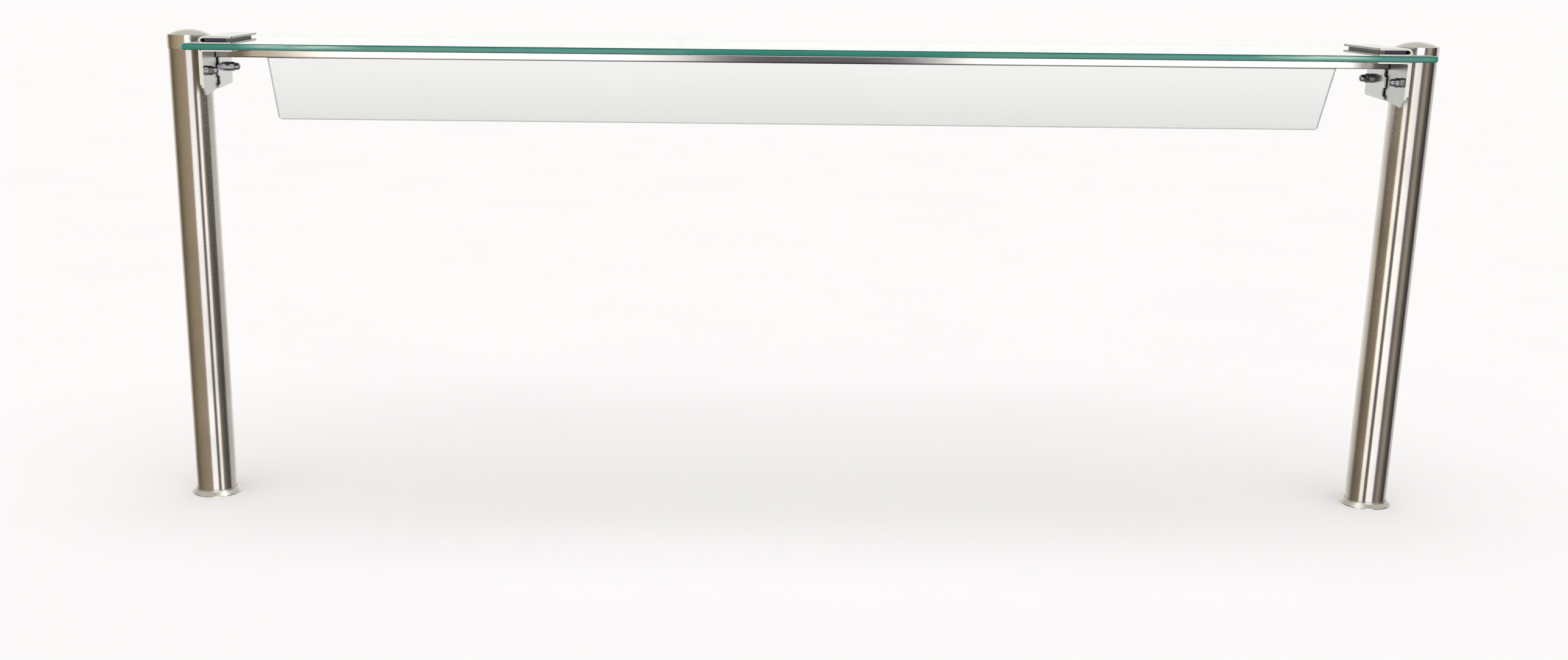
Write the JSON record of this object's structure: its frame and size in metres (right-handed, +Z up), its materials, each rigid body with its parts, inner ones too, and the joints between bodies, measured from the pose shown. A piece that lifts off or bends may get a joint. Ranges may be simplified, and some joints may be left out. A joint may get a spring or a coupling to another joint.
{
  "type": "sneeze guard",
  "caption": "Counter-top sneeze guard: round steel posts carry a horizontal glass shelf in folded brackets, with a slanted clear pane hung from a tilting channel below.",
  "frame": {"origin": "on the counter surface, under the middle of the guard's box: midway between the two posts, 20 mm in front of their axes", "axes": "+X along the guard to the right seen from the serving side, -Y towards the serving side, +Z up"},
  "size_m": [1.3056, 0.21, 0.4926],
  "materials": {
    "post_steel": "brushed",
    "polished_steel": "polished",
    "ring_steel": "satin",
    "inner_steel": "plain",
    "bracket_steel": "satin",
    "channel_steel": "brushed",
    "rubber_pad": "matte",
    "nylon": "matte",
    "chromed_nut": "polished",
    "fastener_steel": "satin",
    "shelf_glass": "clear, green at the edges",
    "clear_pane": "clear",
    "holder_aluminium": "satin",
    "clear_bumper": "translucent"
  },
  "bodies": {
    "stand": {"left_post_tube": "post_steel", "left_post_cap": "polished_steel", "left_base_ring": "ring_steel", "left_foot_plug": "inner_steel", "left_thread_bar": "inner_steel", "left_saddle": "inner_steel", "left_outer_angle": "bracket_steel", "left_inner_angle": "bracket_steel", "left_upper_pad": "rubber_pad", "left_lower_pad": "rubber_pad", "left_post_screws": "fastener_steel", "left_clamp_bolt": "fastener_steel", "left_pivot_bolt": "fastener_steel", "left_clamp_nut": "chromed_nut", "left_pivot_nut": "chromed_nut", "right_post_tube": "post_steel", "right_post_cap": "polished_steel", "right_base_ring": "ring_steel", "right_foot_plug": "inner_steel", "right_thread_bar": "inner_steel", "right_saddle": "inner_steel", "right_outer_angle": "bracket_steel", "right_inner_angle": "bracket_steel", "right_upper_pad": "rubber_pad", "right_lower_pad": "rubber_pad", "right_post_screws": "fastener_steel", "right_clamp_bolt": "fastener_steel", "right_pivot_bolt": "fastener_steel", "right_clamp_nut": "chromed_nut", "right_pivot_nut": "chromed_nut", "clamp_washers": "fastener_steel", "clamp_lock_washers": "fastener_steel", "friction_washers": "nylon", "pivot_washers": "fastener_steel", "pivot_lock_washers": "fastener_steel", "glass_shelf": "shelf_glass"},
    "pane_frame": {"cross_channel": "channel_steel", "pane_holder": "holder_aluminium", "pane_gasket": "rubber_pad", "hanging_pane": "clear_pane", "holder_screws": "fastener_steel", "shelf_bumpers": "clear_bumper"}
  },
  "joints": [
    {"name": "pane_tilt", "type": "hinge", "parent": "stand", "child": "pane_frame", "pos_m": [0, 0.057, 0.453], "axis": [1, 0, 0], "range_deg": [0, 25]}
  ]
}
